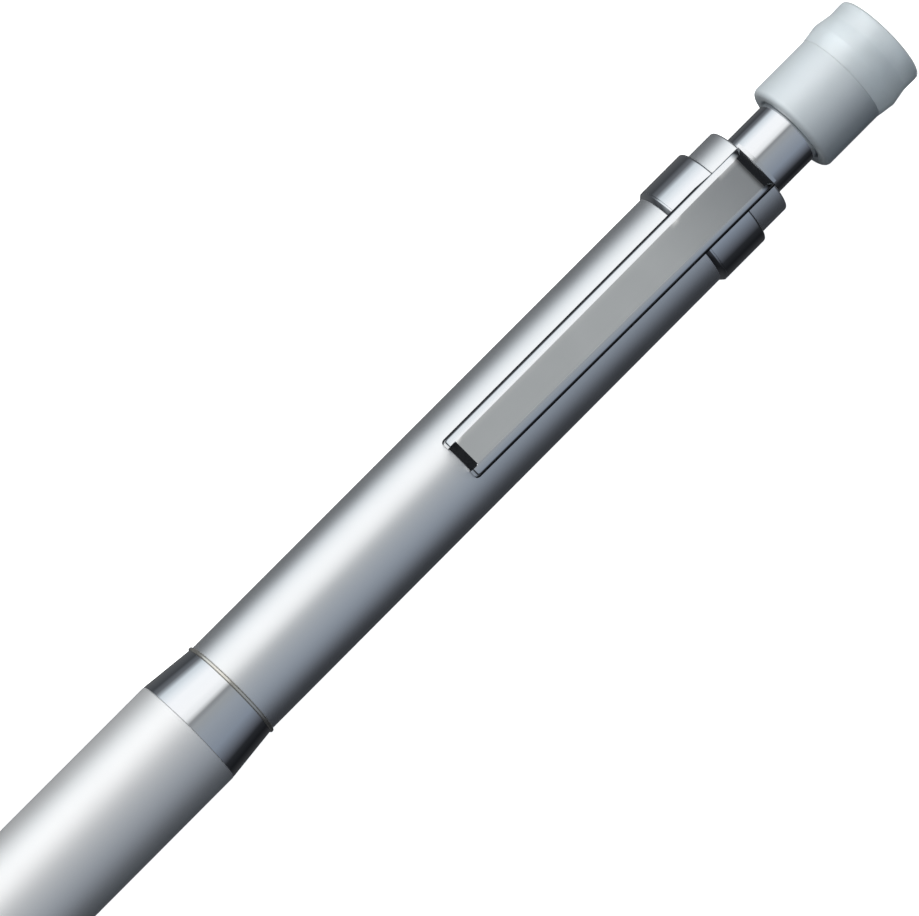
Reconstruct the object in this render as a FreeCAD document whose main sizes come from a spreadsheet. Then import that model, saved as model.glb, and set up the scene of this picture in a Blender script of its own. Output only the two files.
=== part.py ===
import FreeCAD, Part
import os
import Sketcher

# Mechanical pencil, lying along +X with its pocket clip up (+Z).
# Axial places are measured from the writing tip; radii and heights from the pencil's axis.
# Every length is in millimetres and every angle in degrees.

DRIVING = {
    # whole pencil
    "overall": 145.15, "slip": 0.05,
    # lead and its guide pipe
    "lead_radius": 0.28, "lead_length": 60.0, "lead_recess": 0.3,
    "pipe_radius": 0.45, "pipe_bore": 0.31, "pipe_length": 8.0, "pipe_edge": 0.08,
    "pipe_seat_radius": 0.65,
    "retainer_length": 2.4, "retainer_radius": 1.5, "retainer_bore": 0.3,
    # front cone
    "cone_start": 3.6, "cone_nose": 1.05, "cone_collar": 4.3, "cone_shoulder": 15.0,
    "cone_end": 16.0, "cone_radius": 5.7, "cone_edge": 0.35,
    "chamber_start": 10.6, "chamber_radius": 2.75, "stub_end": 24.5, "stub_radius": 3.6,
    # grip section
    "grip_end": 45.9, "grip_radius": 6.33, "grip_edge": 0.45,
    "core_radius": 4.9, "core_thread": 4.6, "core_end": 59.0,
    "joint_end": 51.5, "joint_end_radius": 5.7, "joint_edge": 0.15,
    "clear_end": 52.1, "clear_radius": 5.87, "clear_edge": 0.25,
    # barrel and its head
    "barrel_radius": 5.65, "barrel_bore": 4.8, "barrel_step": 5.05, "barrel_thread_end": 60.0,
    "band_start": 116.0, "band_bevel": 0.45, "band_radius": 6.06, "band_end": 122.2,
    "band_edge": 0.4, "band_line": 0.12,
    "head_end": 126.0, "head_radius": 5.33, "head_edge": 0.28,
    "root_start": 117.0, "root_radius": 4.6, "root_bore": 4.1,
    "lip_length": 0.5, "lip_angle": 70.0,
    "bush_start": 118.5, "bush_end": 126.2,
    # pocket clip
    "clip_start": 83.5, "clip_top_start": 84.3, "clip_top_end": 124.4, "clip_end": 126.25,
    "clip_tip_height": 7.8, "clip_head_height": 7.5, "clip_bevel": 0.65,
    "clip_tip_half": 2.6, "clip_head_half": 2.9, "clip_tip_flat": 1.45, "clip_head_flat": 1.6,
    "clip_floor": 4.9, "clip_wall": 0.4, "clip_foot": 5.1, "clip_nose": 5.9,
    "clip_gap": 0.2,
    # chuck and its housing
    "jaw_front": 16.2, "jaw_land": 16.9, "jaw_radius": 2.15, "jaw_neck": 20.1, "jaw_root": 24.0,
    "stem_radius": 1.45, "stem_bore": 0.45, "jaw_bore": 0.3, "jaw_angle": 112.0, "jaw_count": 3.0,
    "ring_start": 17.2, "ring_end": 19.4, "ring_radius": 2.68, "ring_slip": 0.03,
    "guide_start": 19.8, "guide_hole": 1.75, "guide_bore": 3.05, "guide_end": 42.0,
    "seat_place": 25.5,
    "flange_start": 36.5, "flange_end": 38.5, "flange_radius": 2.95,
    "plug_end": 43.0, "plug_mouth": 1.9, "plug_funnel": 2.0,
    "spring_radius": 2.2, "wire_radius": 0.2, "spring_turns": 9.0,
    # lead store and push rod
    "store_end": 128.0, "store_radius": 2.9, "store_bore": 2.4,
    "rod_start": 112.0, "rod_end": 138.0, "rod_radius": 3.7, "rod_edge": 0.3,
    "spare_start": 52.0, "spare_spread": 0.9, "spare_count": 3.0,
    # cap and eraser
    "cap_start": 131.8, "cap_radius": 5.3, "cap_mouth": 3.88, "cap_mouth_depth": 1.6,
    "cap_edge": 0.6, "cap_seam": 139.3, "seam_edge": 0.1, "socket_start": 136.8, "socket_radius": 4.4,
    "spigot_start": 137.3, "spigot_slip": 0.03,
    "ridge_place": 141.2, "ridge_radius": 5.63, "neck_place": 143.0, "neck_radius": 5.3,
    "ridge_round": 1.4, "cover_edge": 0.45, "cover_bore": 3.1, "cover_wall": 1.3,
    "holder_start": 129.0, "holder_floor": 0.8, "holder_bore": 2.45, "holder_flange": 3.45,
    "holder_flange_depth": 0.6, "eraser_end": 143.0, "eraser_edge": 0.5,
}

doc = FreeCAD.newDocument("mechanical_pencil")
sheet = doc.addObject("Spreadsheet::Sheet", "dim")
for row, (name, value) in enumerate(DRIVING.items(), start=1):
    sheet.set(f"A{row}", name)
    sheet.set(f"B{row}", str(value))
    sheet.setAlias(f"B{row}", name)
doc.recompute()


class Size:
    """A length together with the spreadsheet expression that it comes from."""

    def __init__(self, value, text):
        self.value = value
        self.text = text

    def __add__(self, other):
        other = as_size(other)
        return Size(self.value + other.value, f"({self.text} + {other.text})")

    def __sub__(self, other):
        other = as_size(other)
        return Size(self.value - other.value, f"({self.text} - {other.text})")

    def __mul__(self, other):
        other = as_size(other)
        return Size(self.value * other.value, f"({self.text} * {other.text})")

    def __truediv__(self, other):
        other = as_size(other)
        return Size(self.value / other.value, f"({self.text} / {other.text})")


def as_size(number):
    return number if isinstance(number, Size) else Size(number, str(number))


class Sheet:
    """Reads the driving dimensions by name."""

    def __getattr__(self, name):
        return Size(float(sheet.get(name)), f"dim.{name}")


dim = Sheet()
AXIS = Size(0.0, "0")
sub_parts = []


def place(thing, along=None, turn=0.0):
    """Puts an object made on the pencil's axis into the part frame, turned about that axis."""
    base = FreeCAD.Vector((along.value if along else 0.0) - dim.overall.value / 2, 0,
                          dim.grip_radius.value)
    thing.Placement = FreeCAD.Placement(base, FreeCAD.Rotation(FreeCAD.Vector(1, 0, 0), turn))
    start = f"{along.text} - " if along else "-"
    thing.setExpression("Placement.Base.x", f"{start}dim.overall / 2")
    thing.setExpression("Placement.Base.z", "dim.grip_radius")


def new_body(name, turn=0.0):
    body = doc.addObject("PartDesign::Body", name)
    body.Label = name
    place(body, turn=turn)
    sub_parts.append(body)
    return body


def plane_of(body, role):
    return next(thing for thing in body.Origin.OriginFeatures if thing.Role == role)


def sketch_outline(body, name, points, role="XZ_Plane", offset=None):
    """Closed outline of straight lines, each corner held by two bound distances."""
    sketch = body.newObject("Sketcher::SketchObject", name)
    sketch.AttachmentSupport = [(plane_of(body, role), "")]
    sketch.MapMode = "FlatFace"
    if offset:
        sketch.AttachmentOffset = FreeCAD.Placement(FreeCAD.Vector(0, 0, offset.value),
                                                    FreeCAD.Rotation())
        sketch.setExpression("AttachmentOffset.Base.z", offset.text)
    corners = [FreeCAD.Vector(u.value, v.value, 0) for u, v in points]
    for number, corner in enumerate(corners):
        following = corners[(number + 1) % len(corners)]
        sketch.addGeometry(Part.LineSegment(corner, following))
    for number in range(len(corners)):
        sketch.addConstraint(Sketcher.Constraint("Coincident", number, 2,
                                                 (number + 1) % len(corners), 1))
    for number, (u, v) in enumerate(points):
        for kind, size in (("DistanceX", u), ("DistanceY", v)):
            if size is AXIS:
                on_axis = -1 if kind == "DistanceY" else -2
                sketch.addConstraint(Sketcher.Constraint("PointOnObject", number, 1, on_axis))
                continue
            index = sketch.addConstraint(Sketcher.Constraint(kind, -1, 1, number, 1, size.value))
            sketch.setExpression(f"Constraints[{index}]", size.text)
    return sketch


def revolve(body, name, points, angle=None):
    """Turns an outline of (axial place, radius) points about the pencil's axis."""
    profile = sketch_outline(body, f"{name}_outline", points)
    turned = body.newObject("PartDesign::Revolution", name)
    turned.Profile = profile
    turned.ReferenceAxis = (profile, ["H_Axis"])
    turned.Angle = angle.value if angle else 360.0
    turned.Midplane = angle is not None
    if angle:
        turned.setExpression("Angle", angle.text)
    doc.recompute()
    return turned


def ring_edges(feature, rings):
    """Names of the circular edges at the given (axial place, radius) pairs."""
    names = []
    for number, edge in enumerate(feature.Shape.Edges, start=1):
        curve = edge.Curve
        if not isinstance(curve, Part.Circle):
            continue
        for along, radius in rings:
            near_place = abs(curve.Center.x - along.value) < 1e-4
            if near_place and abs(curve.Radius - radius.value) < 1e-4:
                names.append(f"Edge{number}")
    return names


def round_rings(body, name, feature, rings, radius):
    """Fillets the circular edges at the given (axial place, radius) pairs."""
    fillet = body.newObject("PartDesign::Fillet", name)
    fillet.Base = (feature, ring_edges(feature, rings))
    fillet.Radius = radius.value
    fillet.setExpression("Radius", radius.text)
    doc.recompute()
    return fillet


def turned_part(name, points, turn=0.0):
    body = new_body(name, turn)
    return body, revolve(body, f"{name}_turned", points)


def tube_part(name, start, end, bore, radius):
    return turned_part(name, [(start, bore), (start, radius), (end, radius), (end, bore)])


def make_lead_pipe():
    """Drawn pipe that guides the lead, with a thicker seat pressed into the cone."""
    body, pipe = turned_part("lead_pipe", [
        (AXIS, dim.pipe_bore), (AXIS, dim.pipe_radius), (dim.cone_start, dim.pipe_radius),
        (dim.cone_start, dim.pipe_seat_radius), (dim.pipe_length, dim.pipe_seat_radius),
        (dim.pipe_length, dim.pipe_bore)])
    round_rings(body, "pipe_mouth", pipe, [(AXIS, dim.pipe_radius)], dim.pipe_edge)


def make_lead_retainer():
    tube_part("lead_retainer", dim.pipe_length, dim.pipe_length + dim.retainer_length,
              dim.retainer_bore, dim.retainer_radius)


def make_tip_cone():
    body, cone = turned_part("tip_cone", [
        (dim.cone_start, dim.pipe_seat_radius), (dim.cone_start, dim.cone_nose),
        (dim.cone_collar, dim.cone_nose), (dim.cone_shoulder, dim.cone_radius),
        (dim.cone_end, dim.cone_radius), (dim.cone_end, dim.stub_radius),
        (dim.stub_end, dim.stub_radius), (dim.stub_end, dim.chamber_radius),
        (dim.chamber_start, dim.chamber_radius), (dim.chamber_start, dim.retainer_radius),
        (dim.pipe_length, dim.retainer_radius), (dim.pipe_length, dim.pipe_seat_radius)])
    round_rings(body, "cone_rounds", cone, [
        (dim.cone_start, dim.cone_nose), (dim.cone_shoulder, dim.cone_radius)], dim.cone_edge)


def make_grip_sleeve():
    body, sleeve = tube_part("grip_sleeve", dim.cone_end, dim.grip_end,
                             dim.core_radius, dim.grip_radius)
    round_rings(body, "grip_front_round", sleeve, [(dim.cone_end, dim.grip_radius)],
                dim.grip_edge)


def make_grip_core():
    turned_part("grip_core", [
        (dim.cone_end, dim.stub_radius), (dim.cone_end, dim.core_radius),
        (dim.clear_end, dim.core_radius), (dim.clear_end, dim.core_thread),
        (dim.core_end, dim.core_thread), (dim.core_end, dim.stub_radius)])


def make_joint_ring():
    body, ring = turned_part("joint_ring", [
        (dim.grip_end, dim.core_radius), (dim.grip_end, dim.grip_radius),
        (dim.joint_end, dim.joint_end_radius), (dim.joint_end, dim.core_radius)])
    round_rings(body, "joint_rounds", ring, [
        (dim.grip_end, dim.grip_radius), (dim.joint_end, dim.joint_end_radius)], dim.joint_edge)


def make_clear_ring():
    body, ring = tube_part("clear_ring", dim.joint_end, dim.clear_end,
                           dim.core_radius, dim.clear_radius)
    round_rings(body, "clear_rounds", ring, [
        (dim.joint_end, dim.clear_radius), (dim.clear_end, dim.clear_radius)], dim.clear_edge)


def make_barrel():
    turned_part("barrel", [
        (dim.clear_end, dim.core_thread), (dim.clear_end, dim.barrel_radius),
        (dim.band_start, dim.barrel_radius), (dim.band_start, dim.barrel_step),
        (dim.band_end, dim.barrel_step), (dim.band_end, dim.root_radius),
        (dim.root_start, dim.root_radius), (dim.root_start, dim.barrel_bore),
        (dim.barrel_thread_end, dim.barrel_bore), (dim.barrel_thread_end, dim.core_thread)])


def make_clip_band():
    bevel_end = dim.band_start + dim.band_bevel
    line_end = bevel_end + dim.band_line
    line_floor = dim.band_radius - dim.band_line
    body, band = turned_part("clip_band", [
        (dim.band_start, dim.barrel_step), (dim.band_start, dim.barrel_radius),
        (bevel_end, dim.band_radius), (bevel_end, line_floor), (line_end, line_floor),
        (line_end, dim.band_radius), (dim.band_end, dim.band_radius),
        (dim.band_end, dim.barrel_step)])
    round_rings(body, "band_round", band, [(dim.band_end, dim.band_radius)], dim.band_edge)


def make_clip_head():
    body, head = tube_part("clip_head", dim.band_end, dim.head_end,
                           dim.root_radius, dim.head_radius)
    round_rings(body, "head_round", head, [(dim.head_end, dim.head_radius)], dim.head_edge)


def make_clip_root():
    """Ring of the stamped clip inside the head, with the lip that carries the arm."""
    body, _ = tube_part("clip_root", dim.root_start, dim.head_end,
                        dim.root_bore, dim.root_radius)
    lip_end = dim.head_end + dim.lip_length
    revolve(body, "clip_lip", [
        (dim.head_end, dim.root_bore), (dim.head_end, dim.root_radius),
        (lip_end, dim.root_radius), (lip_end, dim.root_bore)], angle=dim.lip_angle)


def make_guide_bush():
    tube_part("guide_bush", dim.bush_start, dim.bush_end,
              dim.rod_radius + dim.slip, dim.root_bore)


def clip_section(body, name, along, half, flat, top, bevel, floor):
    """Cross-section of the clip: a flat top, two bevels and two upright walls."""
    shoulder = top - bevel
    right = [(half, floor), (half, shoulder), (flat, top)]
    left = [(u * -1, v) for u, v in reversed(right)]
    return sketch_outline(body, name, right + left, role="YZ_Plane", offset=along)


def clip_half_and_flat(wall):
    """Half width and half flat at the tip and at the head, drawn in by the wall."""
    return [(dim.clip_tip_half - wall, dim.clip_tip_flat - wall / 2, dim.clip_tip_height - wall),
            (dim.clip_head_half - wall, dim.clip_head_flat - wall / 2,
             dim.clip_head_height - wall)]


def loft_clip(body, name, kind, start, end, wall, floor):
    (tip_half, tip_flat, tip_top), (head_half, head_flat, head_top) = clip_half_and_flat(wall)
    near = clip_section(body, f"{name}_tip", start, tip_half, tip_flat, tip_top,
                        dim.clip_bevel, floor)
    far = clip_section(body, f"{name}_head", end, head_half, head_flat, head_top,
                       dim.clip_bevel, floor)
    loft = body.newObject(kind, name)
    loft.Profile = near
    loft.Sections = [far]
    loft.Ruled = True
    doc.recompute()
    return loft


def trim_clip_end(body, name, points):
    """Cuts a sloping end with a pocket that runs through both walls."""
    pocket = body.newObject("PartDesign::Pocket", name)
    pocket.Profile = sketch_outline(body, f"{name}_outline", points)
    pocket.Type = "Length"
    pocket.Midplane = True
    pocket.Length = dim.overall.value
    pocket.setExpression("Length", "dim.overall")
    doc.recompute()


def make_clip_arm():
    """Stamped channel: closed at both ends, open towards the barrel, clear of all it spans."""
    body = new_body("clip_arm")
    no_wall = dim.clip_wall * 0
    loft_clip(body, "clip_outside", "PartDesign::AdditiveLoft", dim.clip_start, dim.clip_end,
              no_wall, dim.clip_floor)
    loft_clip(body, "clip_channel", "PartDesign::SubtractiveLoft",
              dim.clip_top_start + dim.clip_wall, dim.clip_top_end - dim.clip_wall,
              dim.clip_wall, dim.clip_floor - 1)
    above = dim.clip_tip_height + 1
    before = dim.clip_start - 1
    beyond = dim.clip_end + 1
    trim_clip_end(body, "clip_nose_slope", [
        (dim.clip_start, dim.clip_nose), (dim.clip_top_start, dim.clip_tip_height),
        (dim.clip_top_start, above), (before, above), (before, dim.clip_nose)])
    trim_clip_end(body, "clip_head_slope", [
        (dim.clip_end, dim.clip_foot), (beyond, dim.clip_foot), (beyond, above),
        (dim.clip_top_end, above), (dim.clip_top_end, dim.clip_head_height)])
    clear_barrel = dim.barrel_radius + dim.clip_gap
    clear_band = dim.band_radius + dim.clip_gap
    clear_head = dim.head_radius + dim.clip_gap
    clear_lip = dim.root_radius + dim.clip_gap
    band_from = dim.band_start - dim.clip_gap
    band_to = dim.band_end + dim.clip_gap
    head_to = dim.head_end + dim.slip
    underside = sketch_outline(body, "clip_underside_outline", [
        (before, AXIS), (before, clear_barrel), (band_from, clear_barrel),
        (band_from, clear_band), (band_to, clear_band), (band_to, clear_head),
        (head_to, clear_head), (head_to, clear_lip), (beyond, clear_lip), (beyond, AXIS)])
    groove = body.newObject("PartDesign::Groove", "clip_underside")
    groove.Profile = underside
    groove.ReferenceAxis = (underside, ["H_Axis"])
    groove.Angle = 360.0
    doc.recompute()


def make_chuck_jaws():
    """Three split jaws of the collet, each a sector about the lead."""
    count = int(dim.jaw_count.value)
    for number in range(count):
        body = new_body(f"chuck_jaw_{number + 1}", turn=360.0 * number / count)
        revolve(body, f"jaw_sector_{number + 1}", [
            (dim.jaw_front, dim.jaw_bore), (dim.jaw_front, dim.jaw_radius),
            (dim.jaw_land, dim.jaw_radius), (dim.jaw_neck, dim.stem_radius),
            (dim.jaw_root, dim.stem_radius), (dim.jaw_root, dim.jaw_bore)], angle=dim.jaw_angle)


def jaw_cone_radius(along):
    """Radius of the jaws' tapered head at an axial place."""
    fall = (dim.jaw_radius - dim.stem_radius) / (dim.jaw_neck - dim.jaw_land)
    return dim.jaw_radius - fall * (along - dim.jaw_land)


def make_chuck_ring():
    turned_part("chuck_ring", [
        (dim.ring_start, jaw_cone_radius(dim.ring_start) + dim.ring_slip),
        (dim.ring_start, dim.ring_radius), (dim.ring_end, dim.ring_radius),
        (dim.ring_end, jaw_cone_radius(dim.ring_end) + dim.ring_slip)])


def make_chuck_stem():
    """Brass stem behind the jaws, with the spring's flange and the plug in the lead store."""
    turned_part("chuck_stem", [
        (dim.jaw_root, dim.stem_bore), (dim.jaw_root, dim.stem_radius),
        (dim.flange_start, dim.stem_radius), (dim.flange_start, dim.flange_radius),
        (dim.flange_end, dim.flange_radius), (dim.flange_end, dim.store_bore),
        (dim.plug_end, dim.store_bore), (dim.plug_end, dim.plug_mouth),
        (dim.plug_end - dim.plug_funnel, dim.stem_bore)])


def make_chuck_guide():
    """Housing of the return spring, screwed up behind the front cone."""
    turned_part("chuck_guide", [
        (dim.guide_start, dim.guide_hole), (dim.guide_start, dim.chamber_radius),
        (dim.stub_end, dim.chamber_radius), (dim.stub_end, dim.stub_radius),
        (dim.guide_end, dim.stub_radius), (dim.guide_end, dim.guide_bore),
        (dim.seat_place, dim.guide_bore), (dim.seat_place, dim.guide_hole)])


def make_return_spring():
    """Round wire swept along a helix between the housing's seat and the stem's flange."""
    start = dim.seat_place + dim.wire_radius * 1.5
    height = dim.flange_start - dim.wire_radius * 1.5 - start
    pitch = height / dim.spring_turns
    helix = doc.addObject("Part::Helix", "spring_path")
    helix.setExpression("Radius", dim.spring_radius.text)
    helix.setExpression("Pitch", pitch.text)
    helix.setExpression("Height", height.text)
    wire = doc.addObject("Part::Circle", "spring_wire")
    wire.setExpression("Radius", dim.wire_radius.text)
    wire.Placement = FreeCAD.Placement(FreeCAD.Vector(dim.spring_radius.value, 0, 0),
                                       FreeCAD.Rotation(FreeCAD.Vector(1, 0, 0), 90))
    wire.setExpression("Placement.Base.x", dim.spring_radius.text)
    doc.recompute()
    spring = doc.addObject("Part::Sweep", "return_spring")
    spring.Label = "return_spring"
    spring.Sections = [wire]
    spring.Spine = (helix, [])
    spring.Solid = True
    spring.Frenet = True
    place(spring, along=start)
    spring.Placement = FreeCAD.Placement(spring.Placement.Base,
                                         FreeCAD.Rotation(FreeCAD.Vector(0, 1, 0), 90))
    sub_parts.append(spring)


def make_lead_store():
    tube_part("lead_store", dim.flange_end, dim.store_end, dim.store_bore, dim.store_radius)


def lead_stick(name):
    stick = doc.addObject("Part::Cylinder", name)
    stick.setExpression("Radius", dim.lead_radius.text)
    stick.setExpression("Height", dim.lead_length.text)
    return stick


def make_lead_in_use():
    lead = lead_stick("lead_in_use")
    lead.Label = "lead_in_use"
    place(lead, along=dim.lead_recess)
    lead.Placement = FreeCAD.Placement(lead.Placement.Base,
                                       FreeCAD.Rotation(FreeCAD.Vector(0, 1, 0), 90))
    sub_parts.append(lead)


def make_spare_leads():
    """Spare leads side by side in the store, as one group of separate solids."""
    count = int(dim.spare_count.value)
    sticks = []
    for number in range(count):
        stick = lead_stick(f"spare_lead_{number + 1}")
        spoke = FreeCAD.Rotation(FreeCAD.Vector(0, 0, 1), 360.0 * number / count)
        stick.Placement.Base = spoke.multVec(FreeCAD.Vector(dim.spare_spread.value, 0, 0))
        sticks.append(stick)
    leads = doc.addObject("Part::Compound", "spare_leads")
    leads.Label = "spare_leads"
    leads.Links = sticks
    place(leads, along=dim.spare_start + dim.lead_recess)
    leads.Placement = FreeCAD.Placement(leads.Placement.Base,
                                        FreeCAD.Rotation(FreeCAD.Vector(0, 1, 0), 90))
    sub_parts.append(leads)


def make_push_rod():
    body, rod = tube_part("push_rod", dim.rod_start, dim.rod_end,
                          dim.store_radius, dim.rod_radius)
    round_rings(body, "rod_rounds", rod, [
        (dim.rod_start, dim.rod_radius), (dim.rod_end, dim.rod_radius)], dim.rod_edge)


def make_cap_sleeve():
    mouth_end = dim.cap_start + dim.cap_mouth_depth
    body, sleeve = turned_part("cap_sleeve", [
        (dim.cap_start, dim.cap_mouth), (dim.cap_start, dim.cap_radius),
        (dim.cap_seam, dim.cap_radius), (dim.cap_seam, dim.socket_radius),
        (dim.socket_start, dim.socket_radius), (dim.socket_start, dim.rod_radius),
        (mouth_end, dim.rod_radius), (mouth_end, dim.cap_mouth)])
    mouth = round_rings(body, "sleeve_mouth_round", sleeve,
                        [(dim.cap_start, dim.cap_radius)], dim.cap_edge)
    round_rings(body, "sleeve_seam_round", mouth,
                [(dim.cap_seam, dim.cap_radius)], dim.seam_edge)


def make_cap_cover():
    """Closed end of the cap, with its finger ridge, hollow over the eraser."""
    spigot_radius = dim.socket_radius - dim.spigot_slip
    spigot_bore = dim.rod_radius + dim.slip
    step = dim.cap_seam - dim.seam_edge
    inner_end = dim.overall - dim.cover_wall
    body, cover = turned_part("cap_cover", [
        (dim.spigot_start, spigot_bore), (dim.spigot_start, spigot_radius),
        (dim.cap_seam, spigot_radius), (dim.cap_seam, dim.cap_radius),
        (dim.ridge_place, dim.ridge_radius), (dim.neck_place, dim.neck_radius),
        (dim.overall, dim.neck_radius), (dim.overall, AXIS), (inner_end, AXIS),
        (inner_end, dim.cover_bore), (step, dim.cover_bore), (step, spigot_bore)])
    ridge = round_rings(body, "cover_ridge_round", cover, [
        (dim.ridge_place, dim.ridge_radius), (dim.neck_place, dim.neck_radius)],
        dim.ridge_round)
    end = round_rings(body, "cover_end_round", ridge,
                      [(dim.overall, dim.neck_radius)], dim.cover_edge)
    round_rings(body, "cover_seam_round", end,
                [(dim.cap_seam, dim.cap_radius)], dim.seam_edge)


def make_eraser_holder():
    flange_end = dim.rod_end + dim.holder_flange_depth
    turned_part("eraser_holder", [
        (dim.holder_start, AXIS), (dim.holder_start, dim.store_radius),
        (dim.rod_end, dim.store_radius), (dim.rod_end, dim.holder_flange),
        (flange_end, dim.holder_flange), (flange_end, dim.holder_bore),
        (dim.holder_start + dim.holder_floor, dim.holder_bore),
        (dim.holder_start + dim.holder_floor, AXIS)])


def make_eraser():
    start = dim.holder_start + dim.holder_floor
    body, eraser = turned_part("eraser", [
        (start, AXIS), (start, dim.holder_bore),
        (dim.eraser_end, dim.holder_bore), (dim.eraser_end, AXIS)])
    round_rings(body, "eraser_round", eraser,
                [(dim.eraser_end, dim.holder_bore)], dim.eraser_edge)


for make in (make_lead_pipe, make_lead_retainer, make_tip_cone, make_grip_sleeve, make_grip_core,
             make_joint_ring, make_clear_ring, make_barrel, make_clip_band, make_clip_head,
             make_clip_root, make_guide_bush, make_clip_arm, make_chuck_jaws, make_chuck_ring,
             make_chuck_stem, make_chuck_guide, make_return_spring, make_lead_store,
             make_lead_in_use, make_spare_leads, make_push_rod, make_cap_sleeve, make_cap_cover,
             make_eraser_holder, make_eraser):
    make()
doc.recompute()

for thing in doc.Objects:
    if "Invalid" in thing.State or "Error" in thing.State:
        raise RuntimeError(f"{thing.Name} did not build: {thing.State}")
for part in sub_parts:
    if part.Shape.isNull() or not part.Shape.isValid():
        raise RuntimeError(f"{part.Label} has no valid shape")

os.makedirs("parts", exist_ok=True)
for part in sub_parts:
    part.Shape.exportStep(os.path.join("parts", f"{part.Label}.step"))
    print(f"{part.Label:15s} {len(part.Shape.Solids)} solid(s) {part.Shape.Volume:9.2f} mm3")
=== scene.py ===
import math

import bmesh
import bpy
from mathutils import Matrix, Vector


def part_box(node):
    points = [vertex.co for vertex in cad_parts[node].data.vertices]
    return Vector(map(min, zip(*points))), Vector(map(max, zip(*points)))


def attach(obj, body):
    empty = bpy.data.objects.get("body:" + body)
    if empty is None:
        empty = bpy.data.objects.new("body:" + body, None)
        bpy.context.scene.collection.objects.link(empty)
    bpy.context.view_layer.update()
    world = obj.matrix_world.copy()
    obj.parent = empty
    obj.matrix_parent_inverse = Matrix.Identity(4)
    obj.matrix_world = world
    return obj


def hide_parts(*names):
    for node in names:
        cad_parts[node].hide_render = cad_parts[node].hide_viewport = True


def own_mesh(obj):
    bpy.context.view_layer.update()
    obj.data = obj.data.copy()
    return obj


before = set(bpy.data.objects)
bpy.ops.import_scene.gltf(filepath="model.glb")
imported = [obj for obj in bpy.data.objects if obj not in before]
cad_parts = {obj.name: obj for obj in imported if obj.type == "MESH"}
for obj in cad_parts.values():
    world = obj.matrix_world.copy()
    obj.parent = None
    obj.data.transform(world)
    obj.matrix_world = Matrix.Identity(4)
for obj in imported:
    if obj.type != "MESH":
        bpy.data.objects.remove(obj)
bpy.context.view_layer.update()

MM = 0.001
ROUND_SEGMENTS = 192
ARC_STEP = math.radians(12)
SMALLEST_TURN = 1e-3
ON_AXIS = 1e-9
MERGE_DISTANCE = 1e-7
DEGENERATE_EDGE = 1e-8
BARREL_STEP = 5.05 * MM


# ---------------------------------------------------------------- places from the frame

def along(node):
    """First and last place of a node along the pencil."""
    low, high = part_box(node)
    return low[0], high[0]


def radius(node):
    """Largest radius of a node that is round about the pencil's axis."""
    low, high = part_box(node)
    return (high[1] - low[1]) / 2


AXIS_HEIGHT = (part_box("grip_sleeve")[0][2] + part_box("grip_sleeve")[1][2]) / 2
TIP = along("lead_pipe")[0]


# ---------------------------------------------------------------- mesh helpers

def corner_arc(before, corner, after, size):
    """Points of a tangent arc that rounds one corner of an outline."""
    to_before = (before - corner).normalized()
    to_after = (after - corner).normalized()
    turn = math.pi - to_before.angle(to_after)
    if size <= 0 or turn < SMALLEST_TURN:
        return [corner]
    reach = size * math.tan(turn / 2)
    most_of_half = 0.49
    longest = most_of_half * min((before - corner).length, (after - corner).length)
    if reach > longest:
        size *= longest / reach
        reach = longest
    middle = (to_before + to_after).normalized()
    centre = corner + middle * math.hypot(size, reach)
    start = corner + to_before * reach
    count = max(2, math.ceil(turn / ARC_STEP))
    spoke = start - centre
    sign = 1 if to_before.x * to_after.y - to_before.y * to_after.x < 0 else -1
    points = []
    for step in range(count + 1):
        angle = sign * turn * step / count
        cosine, sine = math.cos(angle), math.sin(angle)
        turned = Vector((spoke.x * cosine - spoke.y * sine, spoke.x * sine + spoke.y * cosine))
        points.append(centre + turned)
    return points


def rounded(outline):
    """Outline of (place, radius, rounding) corners as a closed list of 2-D points."""
    corners = [Vector((place, out)) for place, out, _ in outline]
    points = []
    for number, (_, _, size) in enumerate(outline):
        following = corners[(number + 1) % len(corners)]
        points += corner_arc(corners[number - 1], corners[number], following, size)
    return points


def finish_mesh(name, mesh_data, body, material, sharp=40.0):
    """Turns bmesh data into a smooth piece that rides on a body."""
    bmesh.ops.remove_doubles(mesh_data, verts=mesh_data.verts, dist=MERGE_DISTANCE)
    bmesh.ops.recalc_face_normals(mesh_data, faces=mesh_data.faces)
    mesh = bpy.data.meshes.new(name)
    mesh_data.to_mesh(mesh)
    mesh_data.free()
    mesh.shade_smooth()
    mesh.set_sharp_from_angle(angle=math.radians(sharp))
    piece = bpy.data.objects.new(name, mesh)
    bpy.context.scene.collection.objects.link(piece)
    piece.data.materials.append(material)
    weighted = piece.modifiers.new("face_weighted_normals", "WEIGHTED_NORMAL")
    weighted.keep_sharp = True
    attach(piece, body)
    return piece


def lathe(name, outline, body, material, segments=ROUND_SEGMENTS):
    """Revolves an outline of (place, radius, rounding) corners about the pencil's axis."""
    points = rounded(outline)
    shape = bmesh.new()
    rings = []
    for point in points:
        ring = []
        for step in range(segments):
            angle = 2 * math.pi * step / segments
            out = max(point.y, 0.0)
            ring.append(shape.verts.new((point.x, out * math.sin(angle),
                                         AXIS_HEIGHT + out * math.cos(angle))))
        rings.append(ring)
    for number, ring in enumerate(rings):
        following = rings[(number + 1) % len(rings)]
        if max(points[number].y, points[(number + 1) % len(points)].y) < ON_AXIS:
            continue
        for step in range(segments):
            beside = (step + 1) % segments
            shape.faces.new((ring[step], ring[beside], following[beside], following[step]))
    bmesh.ops.dissolve_degenerate(shape, edges=shape.edges, dist=DEGENERATE_EDGE)
    return finish_mesh(name, shape, body, material)


# ---------------------------------------------------------------- material helpers

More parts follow.
